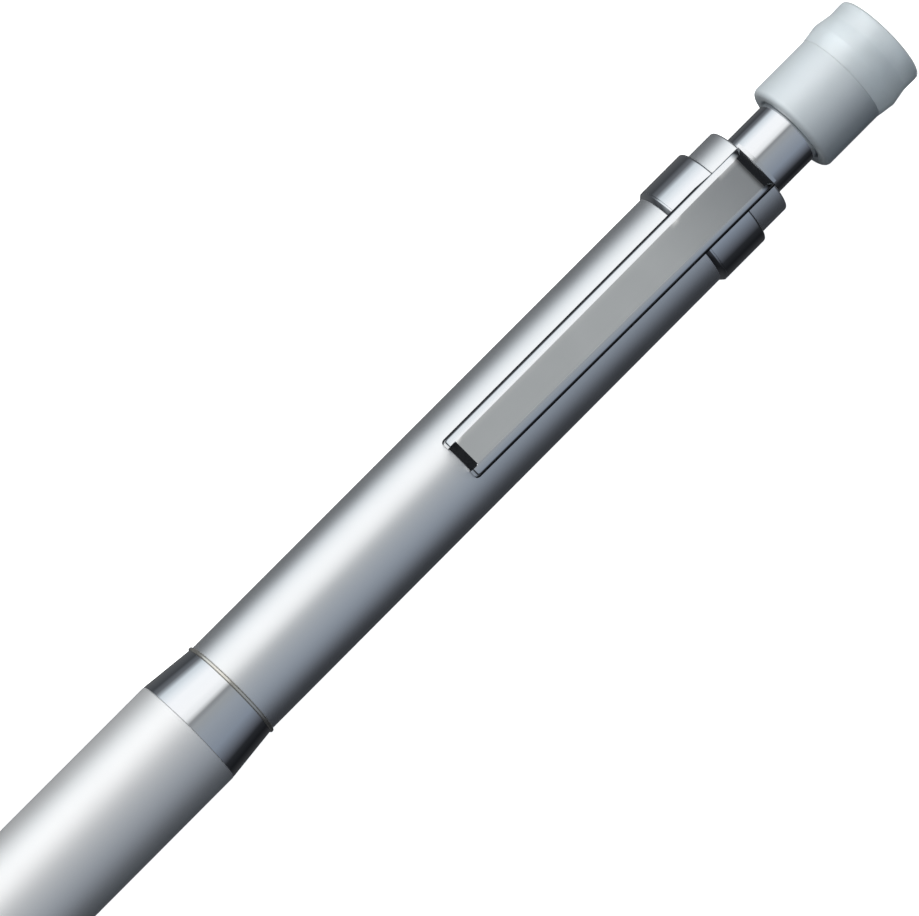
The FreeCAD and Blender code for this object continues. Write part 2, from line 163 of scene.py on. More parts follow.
class Shader:
    """A procedural material built round one Principled shader."""

    def __init__(self, name, color, metallic=0.0, roughness=0.5, **sockets):
        self.material = bpy.data.materials.new(name)
        self.material.use_nodes = True
        self.nodes = self.material.node_tree.nodes
        self.links = self.material.node_tree.links
        self.shader = self.nodes["Principled BSDF"]
        self.shader.inputs["Base Color"].default_value = (*color, 1.0)
        self.shader.inputs["Metallic"].default_value = metallic
        self.shader.inputs["Roughness"].default_value = roughness
        for socket, value in sockets.items():
            self.shader.inputs[socket.replace("_", " ")].default_value = value
        self.place = self.nodes.new("ShaderNodeTexCoord").outputs["Object"]
        self.height = None

    def stretched(self, scale):
        """Object coordinates scaled along each axis."""
        mapping = self.nodes.new("ShaderNodeMapping")
        mapping.inputs["Scale"].default_value = scale
        self.links.new(self.place, mapping.inputs["Vector"])
        return mapping.outputs["Vector"]

    def noise(self, scale, detail=3.0, stretch=(1, 1, 1)):
        """Noise with features of about 1 / scale metres."""
        noise = self.nodes.new("ShaderNodeTexNoise")
        noise.inputs["Scale"].default_value = scale
        noise.inputs["Detail"].default_value = detail
        self.links.new(self.stretched(stretch), noise.inputs["Vector"])
        return noise.outputs["Fac"]

    def turning_marks(self, pitch):
        """Fine rings about the pencil's axis, as a lathe leaves them."""
        wave = self.nodes.new("ShaderNodeTexWave")
        wave.wave_type = "BANDS"
        wave.bands_direction = "X"
        wave.inputs["Scale"].default_value = 1 / pitch / 20
        wave.inputs["Distortion"].default_value = 1.5
        wave.inputs["Detail"].default_value = 2.0
        self.links.new(self.place, wave.inputs["Vector"])
        return wave.outputs["Fac"]

    def spread(self, factor, low, high):
        """Maps the middle of a texture's range onto low..high."""
        spread = self.nodes.new("ShaderNodeMapRange")
        spread.inputs["From Min"].default_value = 0.3
        spread.inputs["From Max"].default_value = 0.7
        spread.inputs["To Min"].default_value = low
        spread.inputs["To Max"].default_value = high
        self.links.new(factor, spread.inputs["Value"])
        return spread.outputs["Result"]

    def vary_roughness(self, factor, low, high):
        self.links.new(self.spread(factor, low, high), self.shader.inputs["Roughness"])

    def ramp_along(self, start, end):
        """Rises from 0 to 1 between two places along the pencil."""
        split = self.nodes.new("ShaderNodeSeparateXYZ")
        rise = self.nodes.new("ShaderNodeMapRange")
        rise.interpolation_type = "SMOOTHSTEP"
        rise.inputs["From Min"].default_value = start
        rise.inputs["From Max"].default_value = end
        self.links.new(self.place, split.inputs["Vector"])
        self.links.new(split.outputs["X"], rise.inputs["Value"])
        return rise.outputs["Result"]

    def vary_color(self, factor, first, second, spread=True):
        """Mixes two colours by a texture, or by a ramp when spread is off."""
        mix = self.nodes.new("ShaderNodeMix")
        mix.data_type = "RGBA"
        mix.inputs["A"].default_value = (*first, 1.0)
        mix.inputs["B"].default_value = (*second, 1.0)
        share = self.spread(factor, 0.0, 1.0) if spread else factor
        self.links.new(share, mix.inputs["Factor"])
        self.links.new(mix.outputs["Result"], self.shader.inputs["Base Color"])

    def bump(self, factor, depth):
        """Adds a relief of the given depth in metres, on top of any already there."""
        bump = self.nodes.new("ShaderNodeBump")
        bump.inputs["Distance"].default_value = depth
        bump.inputs["Strength"].default_value = 1.0
        self.links.new(factor, bump.inputs["Height"])
        if self.height:
            self.links.new(self.height, bump.inputs["Normal"])
        self.height = bump.outputs["Normal"]
        self.links.new(self.height, self.shader.inputs["Normal"])


# ---------------------------------------------------------------- materials

def matte_grip():
    """Bead-blasted silver: an even, fine grain that blurs every reflection."""
    look = Shader("matte_grip", (0.875, 0.872, 0.865), metallic=0.80, roughness=0.50)
    look.vary_roughness(look.noise(260, detail=3.0), 0.485, 0.515)
    look.bump(look.noise(9000, detail=2.0), 0.0016 * MM)
    return look.material


def satin_barrel():
    """Satin silver tube with a faint grain along its length."""
    look = Shader("satin_barrel", (0.975, 0.98, 0.98), metallic=1.0, roughness=0.43)
    look.vary_roughness(look.noise(180, detail=3.0), 0.415, 0.445)
    look.bump(look.noise(5200, detail=2.0, stretch=(0.12, 1, 1)), 0.0005 * MM)
    return look.material


def polished_chrome():
    """Bright plating, with the faintest ripple and a little handling haze."""
    look = Shader("polished_chrome", (0.845, 0.855, 0.87), metallic=1.0, roughness=0.06)
    haze = look.noise(420, detail=4.0)
    look.vary_roughness(haze, 0.045, 0.085)
    look.bump(look.noise(900, detail=1.0), 0.0006 * MM)
    return look.material


def clip_edge():
    """Bright bevels and walls of the clip."""
    look = Shader("clip_edge", (0.82, 0.83, 0.84), metallic=1.0, roughness=0.12)
    look.vary_roughness(look.noise(300, detail=3.0), 0.10, 0.15)
    look.bump(look.noise(6000, detail=2.0, stretch=(0.06, 1, 1)), 0.0004 * MM)
    return look.material


def clip_top():
    """Flat top of the clip, brushed along its length, with painted shade darkening it towards the
    head.
    """
    look = Shader("clip_top", (0.89, 0.89, 0.865), metallic=1.0, roughness=0.3)
    head = along("clip_arm")[1]
    # painted shade: the base colour darkens between 16 mm and 1.5 mm from the head end
    painted_head_shade = look.ramp_along(head - 16 * MM, head - 1.5 * MM)
    look.vary_color(painted_head_shade, (0.89, 0.89, 0.865), (0.56, 0.565, 0.565), spread=False)
    look.vary_roughness(look.noise(300, detail=3.0), 0.28, 0.32)
    look.bump(look.noise(6000, detail=2.0, stretch=(0.06, 1, 1)), 0.0006 * MM)
    return look.material


def clip_painted_shade():
    """Painted shade on the clip: near black on its nose face, the feet of its walls, its head end
    and its cut edges.
    """
    # painted shade: near-black colour standing in for the shade on these faces
    look = Shader("clip_painted_shade", (0.010, 0.011, 0.013), roughness=0.6, Specular_IOR_Level=0.15)
    look.vary_roughness(look.noise(700, detail=3.0), 0.55, 0.65)
    look.bump(look.noise(4000, detail=2.0), 0.001 * MM)
    return look.material


def clear_plastic():
    """Clear warm-tinted ring, silvered by the metal it is pressed on."""
    look = Shader("clear_plastic", (0.80, 0.77, 0.70), metallic=0.85, roughness=0.14,
                  Transmission_Weight=0.5, IOR=1.49)
    look.vary_roughness(look.noise(400, detail=2.0), 0.12, 0.17)
    look.bump(look.noise(900, detail=1.0), 0.0004 * MM)
    return look.material


def frosted_plastic(name, color, shade, haze, gloss):
    """Translucent moulded plastic, hazed by a fine mould texture."""
    look = Shader(name, color, roughness=0.42, Transmission_Weight=haze, IOR=1.49,
                  Subsurface_Weight=0.25, Subsurface_Scale=0.6 * MM,
                  Subsurface_Radius=(1.0, 1.05, 1.1), Coat_Weight=0.75, Coat_Roughness=gloss,
                  Coat_IOR=2.2)
    darker = tuple(channel * shade for channel in color)
    look.vary_color(look.noise(220, detail=2.0), darker, color)
    look.vary_roughness(look.noise(500, detail=3.0), 0.38, 0.46)
    look.bump(look.noise(7000, detail=2.0), 0.0012 * MM)
    return look.material


def moulded_plastic(name, color, shade):
    look = Shader(name, color, roughness=0.45)
    darker = tuple(channel * shade for channel in color)
    look.vary_color(look.noise(300, detail=3.0), darker, color)
    look.vary_roughness(look.noise(500), 0.38, 0.52)
    look.bump(look.noise(4500, detail=2.0), 0.002 * MM)
    return look.material


def drawn_steel():
    """Drawn tube or wire, with long fine die lines."""
    look = Shader("drawn_steel", (0.72, 0.73, 0.75), metallic=1.0, roughness=0.2)
    lines = look.noise(9000, detail=2.0, stretch=(0.04, 1, 1))
    look.vary_roughness(look.noise(700), 0.16, 0.26)
    look.bump(lines, 0.001 * MM)
    return look.material


def turned_brass():
    look = Shader("turned_brass", (0.83, 0.64, 0.30), metallic=1.0, roughness=0.24)
    look.vary_color(look.noise(500, detail=3.0), (0.80, 0.60, 0.27), (0.87, 0.70, 0.36))
    look.vary_roughness(look.noise(900), 0.18, 0.32)
    look.bump(look.turning_marks(0.12 * MM), 0.002 * MM)
    return look.material


def soft_rubber(name, color, worn):
    look = Shader(name, color, roughness=0.8, Sheen_Weight=0.15)
    look.vary_color(look.noise(350, detail=4.0), worn, color)
    look.vary_roughness(look.noise(900), 0.7, 0.9)
    look.bump(look.noise(3500, detail=4.0), 0.006 * MM)
    return look.material


def graphite():
    look = Shader("graphite", (0.09, 0.09, 0.10), metallic=0.35, roughness=0.4)
    look.vary_color(look.noise(1500), (0.07, 0.07, 0.075), (0.12, 0.12, 0.13))
    look.vary_roughness(look.noise(2500), 0.32, 0.5)
    look.bump(look.turning_marks(0.05 * MM), 0.001 * MM)
    return look.material


GRIP = matte_grip()
SATIN = satin_barrel()
CHROME = polished_chrome()
CLIP_EDGE = clip_edge()
CLIP_TOP = clip_top()
CLIP_PAINTED_SHADE = clip_painted_shade()
CLEAR = clear_plastic()
FROSTED = frosted_plastic("frosted_plastic", (0.505, 0.55, 0.57), 0.97, 0.1, 0.36)
FROSTED_COVER = frosted_plastic("frosted_cover", (0.76, 0.825, 0.85), 0.86, 0.42, 0.28)
WHITE_PLASTIC = moulded_plastic("white_plastic", (0.86, 0.86, 0.84), 0.95)
GREY_PLASTIC = moulded_plastic("grey_plastic", (0.30, 0.31, 0.33), 0.85)
DRAWN = drawn_steel()
BRASS = turned_brass()
RUBBER = soft_rubber("black_rubber", (0.03, 0.03, 0.03), (0.05, 0.05, 0.05))
ERASER = soft_rubber("eraser_white", (0.90, 0.90, 0.88), (0.80, 0.80, 0.79))
GRAPHITE = graphite()

CAD_MATERIALS = {
    "lead_retainer": RUBBER, "grip_core": GREY_PLASTIC, "clip_root": CLIP_EDGE,
    "guide_bush": GREY_PLASTIC, "chuck_jaw_1": BRASS, "chuck_jaw_2": BRASS,
    "chuck_jaw_3": BRASS, "chuck_ring": BRASS, "chuck_stem": BRASS,
    "chuck_guide": GREY_PLASTIC, "lead_store": WHITE_PLASTIC, "lead_in_use": GRAPHITE,
    "spare_leads": GRAPHITE, "eraser_holder": WHITE_PLASTIC,
}


def paint_cad_nodes():
    for node, material in CAD_MATERIALS.items():
        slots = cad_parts[node].material_slots
        for slot in slots:
            slot.material = material


# ---------------------------------------------------------------- front section

def make_lead_pipe():
    """Thin drawn pipe, with a thicker seat where it sits in the cone."""
    start, end = along("lead_pipe")
    seat_start = along("tip_cone")[0]
    seat = radius("lead_pipe")
    out = 0.45 * MM
    bore = 0.31 * MM
    piece = lathe("lead_pipe_tube", [
        (start, bore, 0.03 * MM), (start, out, 0.09 * MM), (seat_start, out, 0.02 * MM),
        (seat_start, seat, 0.02 * MM), (end, seat, 0.02 * MM), (end, bore, 0.02 * MM)],
        "barrel", DRAWN, segments=64)
    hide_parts("lead_pipe")


def make_tip_cone():
    """Front cone: nose collar, long taper, short cylinder, and the stub inside the grip."""
    start, end = along("tip_cone")
    out = radius("tip_cone")
    shoulder = along("grip_sleeve")[0]
    nose = 1.05 * MM
    stub = 3.6 * MM
    bore = 2.75 * MM
    pocket = radius("lead_retainer")
    pipe = radius("lead_pipe")
    pocket_start, pocket_end = along("lead_retainer")
    piece = lathe("tip_cone_shell", [
        (start, pipe, 0.03 * MM), (start, nose, 0.3 * MM),
        (start + 0.7 * MM, nose, 0.25 * MM), (shoulder - 1.0 * MM, out, 0.5 * MM),
        (shoulder, out, 0.12 * MM), (shoulder, stub, 0.02 * MM), (end, stub, 0.2 * MM),
        (end, bore, 0.05 * MM), (pocket_end + 0.2 * MM, bore, 0.05 * MM),
        (pocket_end + 0.2 * MM, pocket, 0.02 * MM), (pocket_start, pocket, 0.02 * MM),
        (pocket_start, pipe, 0.02 * MM)], "barrel", CHROME)
    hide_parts("tip_cone")


def make_grip():
    start, end = along("grip_sleeve")
    out = radius("grip_sleeve")
    bore = radius("grip_core")
    piece = lathe("grip_shell", [
        (start, bore, 0.05 * MM), (start, out, 0.45 * MM),
        (end, out, 0.07 * MM), (end, bore, 0.05 * MM)], "barrel", GRIP)
    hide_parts("grip_sleeve")


RING_LAP = 0.22 * MM


def make_joint_ring():
    start = along("joint_ring")[0]
    end = along("clear_ring")[0] + RING_LAP
    out = radius("joint_ring")
    bore = radius("grip_core")
    rear = 5.7 * MM
    piece = lathe("joint_ring_shell", [
        (start, bore, 0.05 * MM), (start, out, 0.09 * MM),
        (end, rear, 0.05 * MM), (end, bore, 0.05 * MM)], "barrel", CHROME)
    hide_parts("joint_ring")


def make_clear_ring():
    start, end = along("clear_ring")
    start += RING_LAP
    out = radius("clear_ring")
    bore = radius("grip_core")
    piece = lathe("clear_ring_shell", [
        (start, bore, 0.03 * MM), (start, out, 0.15 * MM),
        (end, out, 0.15 * MM), (end, bore, 0.03 * MM)], "barrel", CLEAR)
    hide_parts("clear_ring")


# ---------------------------------------------------------------- barrel and clip mounting

def make_barrel():
    start, end = along("barrel")
    out = radius("barrel")
    band_start = along("clip_band")[0]
    thread = 4.6 * MM
    bore = 4.8 * MM
    thread_end = start + 7.9 * MM
    root_start = along("clip_root")[0]
    piece = lathe("barrel_tube", [
        (start, thread, 0.03 * MM), (start, out, 0.08 * MM), (band_start, out, 0.04 * MM),
        (band_start, BARREL_STEP, 0.02 * MM), (end, BARREL_STEP, 0.03 * MM),
        (end, thread, 0.03 * MM),
        (root_start, thread, 0.02 * MM), (root_start, bore, 0.02 * MM),
        (thread_end, bore, 0.02 * MM), (thread_end, thread, 0.02 * MM)], "barrel", SATIN)
    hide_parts("barrel")


def make_clip_band():
    """Chrome band: bevelled front edge, one turned line behind it, rounded rear edge."""
    start, end = along("clip_band")
    out = radius("clip_band")
    barrel = radius("barrel")
    bevel = start + 0.45 * MM
    line = 0.14 * MM
    line_start = bevel + 0.06 * MM
    piece = lathe("clip_band_shell", [
        (start, BARREL_STEP, 0.03 * MM), (start, barrel + 0.01 * MM, 0.03 * MM),
        (bevel, out, 0.05 * MM), (line_start, out, 0.02 * MM),
        (line_start, out - line, 0.03 * MM),
        (line_start + line, out - line, 0.03 * MM),
        (line_start + line, out, 0.03 * MM), (end, out, 0.3 * MM),
        (end, BARREL_STEP, 0.03 * MM)], "barrel", CHROME)
    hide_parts("clip_band")


def make_clip_head():
    start, end = along("clip_head")
    out = radius("clip_head")
    bore = 4.6 * MM
    piece = lathe("clip_head_sleeve", [
        (start, bore, 0.02 * MM), (start, out, 0.04 * MM),
        (end, out, 0.28 * MM), (end, bore, 0.08 * MM)], "barrel", SATIN)
    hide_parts("clip_head")


# ---------------------------------------------------------------- pocket clip

CLIP_WALL = 0.4 * MM
CLIP_GAP = 0.2 * MM
CLIP_FLANGE = 0.17 * MM
BEVEL_STEPS = 9
NOSE_ROWS = 10
HEAD_ROWS = 24


def between(value, low, high):
    return min(max((value - low) / (high - low), 0.0), 1.0)


def quarter_round(share):
    """Drop of a quarter circle of radius 1, from 1 at its foot (0) to nothing at its crown (1)."""
    return 1 - math.sqrt(1 - (1 - share) ** 2)


class ClipShape:
    """Outer (inset 0) or inner (inset one wall) surface of the stamped clip."""

    def __init__(self, inset):
        low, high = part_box("clip_arm")
        self.inset = inset
        self.start, self.end = low[0] + 0.12 * MM, high[0] - 0.45 * MM
        self.flat_start = self.start + 0.82 * MM
        self.head_bend = self.end - 2.15 * MM
        self.tip_top = high[2]
        self.head_top = high[2] - 0.3 * MM
        self.foot = AXIS_HEIGHT + 5.12 * MM
        self.tip_half = high[1] - 0.3 * MM
        self.head_half = high[1]

    def top(self, x):
        """Height of the top face: nearly level, then rounded down at the head."""
        level = self.tip_top + (self.head_top - self.tip_top) * between(x, self.start, self.end)
        bend = between(x, self.head_bend, self.end)
        return level - (level - self.foot) * quarter_round(1 - bend) - self.inset

    def half(self, x, side):
        """Half width on the +Y (1) or -Y (-1) side, drawn in round the corners of the nose."""
        wide = self.tip_half
        if side < 0:
            wide += (self.head_half - self.tip_half) * between(x, self.start, self.end)
        corner = 0.5 * MM
        rounding = 0.6 * corner * quarter_round(between(x, self.start, self.start + corner))
        return wide - rounding - CLIP_FLANGE - self.inset

    def flange(self, x, side):
        """Width by which the wall's foot turns out as a flange carrying a painted shadow line; on
        +Y it ends at the band.
        """
        if self.inset:
            return 0
        band_end = along("clip_band")[1]
        fade = between(x, band_end - 2.5 * MM, band_end) if side > 0 else 0
        return CLIP_FLANGE * (1 - fade)

    def bevel(self, x, side):
        """Width, drop and bulge of the bevelled edge: steeper on +Y, soft on -Y."""
        share = between(x, self.start, self.end)
        if side > 0:
            return (0.88 - 0.15 * share) * MM, (0.61 - 0.24 * share) * MM, 1.2
        return (0.95 - 0.4 * share) * MM, 0.27 * MM, 2.0

    def flat(self, x, side):
        """Half width of the flat top, which flares to the corners at the head."""
        behind_nose = min(max(x, self.flat_start), self.end)
        flare = between(x, self.end - 1.5 * MM, self.end)
        return self.half(behind_nose, side) - self.bevel(x, side)[0] + 0.5 * MM * flare ** 2

    def floor(self, x, y):
        """Lower edge of the wall, a constant gap above whatever round part it spans."""
        band_start, band_end = along("clip_band")
        head_end = along("clip_head")[1]
        clear = radius("barrel") + CLIP_GAP
        if band_start - CLIP_GAP <= x <= band_end + CLIP_GAP:
            clear = radius("clip_band") + CLIP_GAP
        elif band_end < x <= head_end - CLIP_GAP / 2:
            clear = radius("clip_head") + CLIP_GAP
        elif x > head_end - CLIP_GAP / 2:
            clear = 4.8 * MM
        lowest = 4.9 * MM
        return AXIS_HEIGHT + max(math.sqrt(max(clear ** 2 - y ** 2, 0)), lowest)

    def half_section(self, x, side):
        """Points from the lower edge of one wall to the middle of the top, with their zones."""
        half, flat = self.half(x, side), self.flat(x, side)
        foot_half = half + self.flange(x, side)
        _, drop, bulge = self.bevel(x, side)
        bottom = self.floor(x, foot_half)
        lip = 0.3 * MM
        ear_drop = lip * quarter_round(between(x, self.start, self.start + lip))
        top = self.top(x) - (0 if self.inset else ear_drop)
        drop = min(drop, (top - bottom) * 0.3)
        foot = min(0.34 * MM, (top - drop - bottom) * 0.5)
        wall_foot = Vector((half, bottom + foot))
        shoulder = Vector((half, top - drop))
        middle = Vector((0, top))
        points = [(Vector((foot_half, bottom)), "flange"),
                  (Vector((foot_half, bottom + foot * 0.3)), "flange"), (wall_foot, "wall")]
        points += [(wall_foot.lerp(shoulder, share), "wall") for share in (0.3, 0.6, 0.94)]
        for step in range(1, BEVEL_STEPS):
            share = step / BEVEL_STEPS
            across = shoulder.x + (flat - shoulder.x) * share
            points.append((Vector((across, top - drop * (1 - share) ** bulge)), "wall"))
        crown = Vector((flat, top))
        points += [(crown.lerp(middle, share), "top") for share in (0, 0.33, 0.67, 1)]
        return points

    def behind_head_wall(self, x):
        """Place on the inner skin that pairs with a place on the outer one."""
        if x < self.head_bend:
            return x
        run = self.end - self.head_bend
        return self.head_bend + (x - self.head_bend) * (run - CLIP_WALL) / run

    def row(self, x):
        """Whole cross-section at one place, from the -Y wall to the +Y wall."""
        right = self.half_section(x, 1)
        left = [(Vector((-point.x, point.y)), zone)
                for point, zone in self.half_section(x, -1)[:-1]]
        return [(Vector((x, point.x, point.y)), zone) for point, zone in left + right[::-1]]

    def nose_row(self, step):
        """Row of the nose: its side bevels run ahead as ears, its middle face slopes down."""
        share = step / NOSE_ROWS
        ear = self.start + (self.flat_start - self.start) * (1 - math.cos(math.pi / 2 * share))
        foot_x = self.start + 0.1 * MM
        clear = radius("barrel") + CLIP_GAP
        row = []
        for (ahead, zone), (behind, _) in zip(self.row(ear), self.row(self.flat_start)):
            if zone == "top":
                foot = AXIS_HEIGHT + math.sqrt(clear ** 2 - behind.y ** 2)
                point = Vector((foot_x, behind.y, foot)).lerp(behind, share)
            else:
                point = ahead
                if step == 0:
                    point.z = self.floor(ear, ahead.y)
            row.append((point, zone))
        return row


def clip_places(shape):
    """Places along the clip behind its nose, close together where its outline turns."""
    band_start, band_end = along("clip_band")
    head_end = along("clip_head")[1]
    jump = 0.02 * MM
    middle_steps = 40
    places = []
    for step in range(1, middle_steps + 1):
        run = shape.head_bend - shape.flat_start
        places.append(shape.flat_start + run * step / middle_steps)
    for edge in (band_start - CLIP_GAP, band_end + CLIP_GAP, head_end - CLIP_GAP / 2):
        places += [edge - jump, edge + jump]
    for step in range(1, HEAD_ROWS + 1):
        bend = math.sin(math.pi / 2 * step / HEAD_ROWS)
        places.append(shape.head_bend + (shape.end - shape.head_bend) * bend)
    return sorted(places)


def clip_finish(row, corner, zones, shape):
    """Material number of one outer face: 0 bright edge, 1 satin top, 2 painted shade on ends and
    feet.
    """
    place = corner.x
    painted_shade_head = shape.end - 1.2 * MM
    # the flange is a painted shadow line, left bright on the open +Y side along the head
    if "flange" in zones:
        open_side = corner.y > 0 and place > along("clip_head")[0]
        return 0 if open_side else 2
    if zones == ("top", "top"):
        # painted shade on the nose's sloping face and on the last 1.2 mm of the top at the head
        return 2 if row < NOSE_ROWS or place > painted_shade_head else 1
    return 0


def make_clip():
    """Clip as two matching skins, one wall apart, joined round their rim."""
    outer, inner = ClipShape(0.0), ClipShape(CLIP_WALL)
    places = clip_places(outer)
    outer_rows = [outer.nose_row(step) for step in range(NOSE_ROWS + 1)]
    outer_rows += [outer.row(x) for x in places]
    inner_start = outer.flat_start + CLIP_WALL / 2
    inner_step = 0.02 * MM
    inner_rows = [inner.row(inner_start + step * inner_step) for step in range(NOSE_ROWS + 1)]
    inner_rows += [inner.row(inner.behind_head_wall(x)) for x in places]
    shape = bmesh.new()
    skins = []
    for rows in (outer_rows, inner_rows):
        skins.append([[shape.verts.new(point) for point, _ in row] for row in rows])
    last = len(outer_rows) - 1
    width = len(outer_rows[0]) - 1
    for skin in skins:
        for row in range(last):
            for column in range(width):
                face = shape.faces.new((skin[row][column], skin[row + 1][column],
                                        skin[row + 1][column + 1], skin[row][column + 1]))
                if skin is skins[0]:
                    zones = (outer_rows[row][column][1], outer_rows[row][column + 1][1])
                    face.material_index = clip_finish(row, outer_rows[row][column][0],
                                                      zones, outer)
    rim = [(0, column) for column in range(width)]
    rim += [(row, width) for row in range(last)]
    rim += [(last, column) for column in range(width, 0, -1)]
    rim += [(row, 0) for row in range(last, 0, -1)]
    for number, (row, column) in enumerate(rim):
        next_row, next_column = rim[(number + 1) % len(rim)]
        face = shape.faces.new((skins[0][row][column], skins[0][next_row][next_column],
                                skins[1][next_row][next_column], skins[1][row][column]))
        # the cut edges round the rim carry painted shade too
        face.material_index = 2
    piece = finish_mesh("clip_channel", shape, "clip", CLIP_EDGE, sharp=50.0)
    piece.data.materials.append(CLIP_TOP)
    piece.data.materials.append(CLIP_PAINTED_SHADE)
    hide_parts("clip_arm")


# ---------------------------------------------------------------- push rod, cap and eraser

def make_push_rod():
    start, end = along("push_rod")
    out = radius("push_rod")
    bore = radius("lead_store")
    piece = lathe("push_rod_tube", [
        (start, bore, 0.05 * MM), (start, out, 0.3 * MM),
        (end, out, 0.3 * MM), (end, bore, 0.05 * MM)], "knock", CHROME)
    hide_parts("push_rod")


def make_cap_sleeve():
    start, end = along("cap_sleeve")
    out = radius("cap_sleeve")
    mouth = 3.88 * MM
    rod = radius("push_rod")
    socket = 4.4 * MM
    socket_start = end - 2.5 * MM
    piece = lathe("cap_sleeve_shell", [
        (start, mouth, 0.25 * MM), (start, out, 0.65 * MM), (end, out, 0.03 * MM),
        (end, socket, 0.05 * MM), (socket_start, socket, 0.05 * MM),
        (socket_start, rod, 0.05 * MM), (start + 1.6 * MM, rod, 0.05 * MM),
        (start + 1.6 * MM, mouth, 0.1 * MM)], "knock", FROSTED)
    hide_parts("cap_sleeve")


def make_cap_cover():
    """Upper half of the cap: a flared finger ridge, a shallow neck and a flat end."""
    start, end = along("cap_cover")
    seam = along("cap_sleeve")[1]
    sleeve = radius("cap_sleeve")
    ridge = radius("cap_cover")
    neck = 5.3 * MM
    spigot = 4.37 * MM
    spigot_bore = 3.75 * MM
    bore = 3.1 * MM
    wall = 1.3 * MM
    axis = 0.0
    piece = lathe("cap_cover_shell", [
        (start, spigot_bore, 0.05 * MM), (start, spigot, 0.15 * MM),
        (seam, spigot, 0.03 * MM), (seam, sleeve + 0.03 * MM, 0.03 * MM),
        (seam + 1.9 * MM, ridge + 0.01 * MM, 0.7 * MM),
        (seam + 3.7 * MM, neck, 1.4 * MM), (end, neck + 0.03 * MM, 0.45 * MM),
        (end, axis, 0), (end - wall, axis, 0), (end - wall, bore, 0.4 * MM),
        (seam - 0.1 * MM, bore, 0.05 * MM),
        (seam - 0.1 * MM, spigot_bore, 0.05 * MM)], "cover", FROSTED_COVER)
    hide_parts("cap_cover")


def make_eraser():
    """White eraser stick with a domed, slightly used end."""
    start, end = along("eraser")
    out = radius("eraser")
    axis = 0.0
    piece = lathe("eraser_stick", [
        (start, axis, 0), (start, out, 0.1 * MM), (end - 0.35 * MM, out, 0.5 * MM),
        (end, out - 0.9 * MM, 1.2 * MM), (end, axis, 0)], "knock", ERASER, segments=96)
    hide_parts("eraser")


# ---------------------------------------------------------------- return spring

def make_return_spring():
    """Coil of round wire, its end turns closed up; the spring the cap presses, built here at one
    length.
    """
    low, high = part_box("return_spring")
    wire = 0.2 * MM
    coil = radius("return_spring") - wire
    turns, closed = 9.0, 1.25
    steps_per_turn, wire_steps = 32, 12
    length = high[0] - low[0] - 2 * wire
    free = turns - 2 * closed
    closed_pitch = 2.2 * wire
    open_length = length - 2 * closed * closed_pitch
    shape = bmesh.new()
    rings = []
    for step in range(int(turns * steps_per_turn) + 1):
        turn = step / steps_per_turn
        start_part = min(turn, closed) * closed_pitch
        open_part = min(max(turn - closed, 0), free) / free * open_length
        end_part = max(turn - closed - free, 0) * closed_pitch
        place = low[0] + wire + start_part + open_part + end_part
        angle = 2 * math.pi * turn
        outward = Vector((0, math.sin(angle), math.cos(angle)))
        centre = Vector((place, 0, AXIS_HEIGHT)) + outward * coil
        ring = []
        for side in range(wire_steps):
            lean = 2 * math.pi * side / wire_steps
            spoke = outward * math.cos(lean) + Vector((1, 0, 0)) * math.sin(lean)
            ring.append(shape.verts.new(centre + spoke * wire))
        rings.append(ring)
    for ring, following in zip(rings, rings[1:]):
        for side in range(wire_steps):
            beside = (side + 1) % wire_steps
            shape.faces.new((ring[side], ring[beside], following[beside], following[side]))
    shape.faces.new(rings[0])
    shape.faces.new(rings[-1])
    piece = finish_mesh("return_coil", shape, "barrel", DRAWN)
    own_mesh(piece)
    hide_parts("return_spring")


# ---------------------------------------------------------------- studio

def aimed(direction, roll_reference):
    """Rotation that points an object's -Z along a direction."""
    back = -direction.normalized()
    side = roll_reference.cross(back).normalized()
    up = back.cross(side)
    return Matrix((side, up, back)).transposed().to_4x4()


def make_floor():
    """White paper that glows, so that it shows as pure white.

    It is hidden from reflections and bounced light, so it adds none to the pencil.
    """
    size = 3.0
    glow = 0.85
    mesh = bpy.data.meshes.new("floor")
    corners = [(-size, -size, 0), (size, -size, 0), (size, size, 0), (-size, size, 0)]
    mesh.from_pydata(corners, [], [(0, 1, 2, 3)])
    floor = bpy.data.objects.new("floor", mesh)
    bpy.context.scene.collection.objects.link(floor)
    look = Shader("floor_paper", (0.93, 0.93, 0.93), roughness=0.9, Specular_IOR_Level=0.1,
                  Emission_Color=(1.0, 1.0, 1.0, 1.0), Emission_Strength=glow)
    floor.data.materials.append(look.material)
    floor.visible_glossy = False
    floor.visible_diffuse = False


def area_light(name, direction, distance, side, radiance):
    """Square softbox of the given radiance, aimed at the pencil from a direction."""
    light = bpy.data.lights.new(name, "AREA")
    light.size = side
    light.energy = radiance * math.pi * side ** 2
    lamp = bpy.data.objects.new(name, light)
    bpy.context.scene.collection.objects.link(lamp)
    toward = Vector(direction).normalized()
    target = Vector((0, 0, AXIS_HEIGHT))
    lamp.matrix_world = Matrix.Translation(target + toward * distance) @ aimed(
        -toward, Vector((0, 1, 0)))
    return lamp


def make_lights():
    """Soft lights for the paper and for diffuse shading; reflections show only the world."""
    lean = math.radians(54)
    distance = 0.9
    toward_key = (0, math.sin(lean), math.cos(lean))
    key = area_light("key_softbox", toward_key, distance, side=0.7, radiance=5.0)
    key.visible_glossy = False
    for name, toward in (("tip_fill", -1), ("cap_fill", 1)):
        fill = area_light(name, (toward, 0.1, 0.35), distance, side=0.5, radiance=1.6)
        fill.visible_glossy = False
